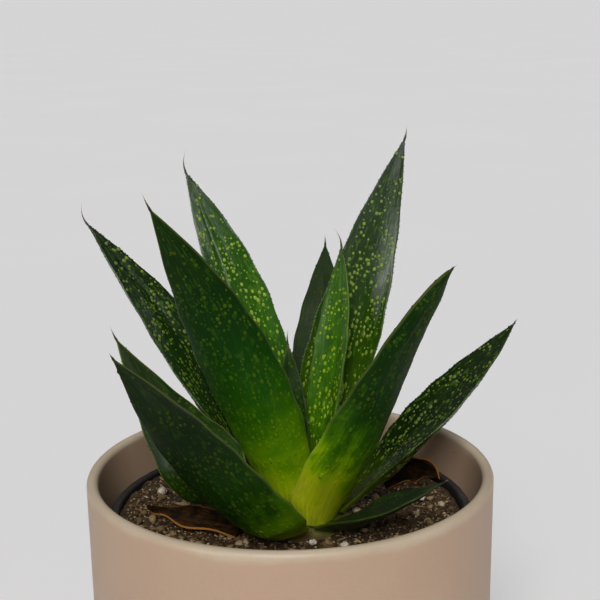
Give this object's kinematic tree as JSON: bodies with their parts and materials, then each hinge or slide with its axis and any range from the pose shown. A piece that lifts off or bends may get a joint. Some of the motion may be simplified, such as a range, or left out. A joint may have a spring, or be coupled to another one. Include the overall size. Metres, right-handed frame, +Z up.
{
  "type": "potted gasteria",
  "caption": "Succulent rosette with long pointed warty leaves, rooted in potting mix in a nursery pot that stands in a plain round ceramic cover pot.",
  "frame": {"origin": "centre of the cover pot's flat foot, on the surface that it stands on", "axes": "+Z up along the pot's axis, -Y towards the front, from which the rosette is seen, +X to its right"},
  "size_m": [0.1285, 0.12, 0.2049],
  "materials": {
    "cover_pot": "matte cream stoneware with fine brown specks",
    "nursery_pot": "thin black moulded plastic",
    "potting_mix": "dark crumbly potting mix",
    "rootstock": "fleshy pale stem and roots",
    "leaf": "waxy dark green with raised yellow-green spots and pale margins",
    "dried_leaf": "dry papery brown leaf with an orange-tan rim",
    "perlite": "pale porous grain",
    "bark": "rough dark bark chip"
  },
  "bodies": {
    "root": {"bark_chip_1": "bark", "bark_chip_2": "bark", "bark_chip_3": "bark", "bark_chip_4": "bark", "bark_chip_5": "bark", "cover_pot": "cover_pot", "dried_leaf_left": "dried_leaf", "dried_leaf_right": "dried_leaf", "leaf_back": "leaf", "leaf_back_left": "leaf", "leaf_centre_hooked": "leaf", "leaf_centre_young": "leaf", "leaf_front_left": "leaf", "leaf_front_low": "leaf", "leaf_front_right": "leaf", "leaf_front_small": "leaf", "leaf_left_high": "leaf", "leaf_left_low": "leaf", "leaf_right_low": "leaf", "leaf_right_tall": "leaf", "nursery_pot": "nursery_pot", "perlite_grain_1": "perlite", "perlite_grain_2": "perlite", "perlite_grain_3": "perlite", "perlite_grain_4": "perlite", "perlite_grain_5": "perlite", "perlite_grain_6": "perlite", "potting_mix": "potting_mix", "rootstock": "rootstock"}
  },
  "joints": []
}
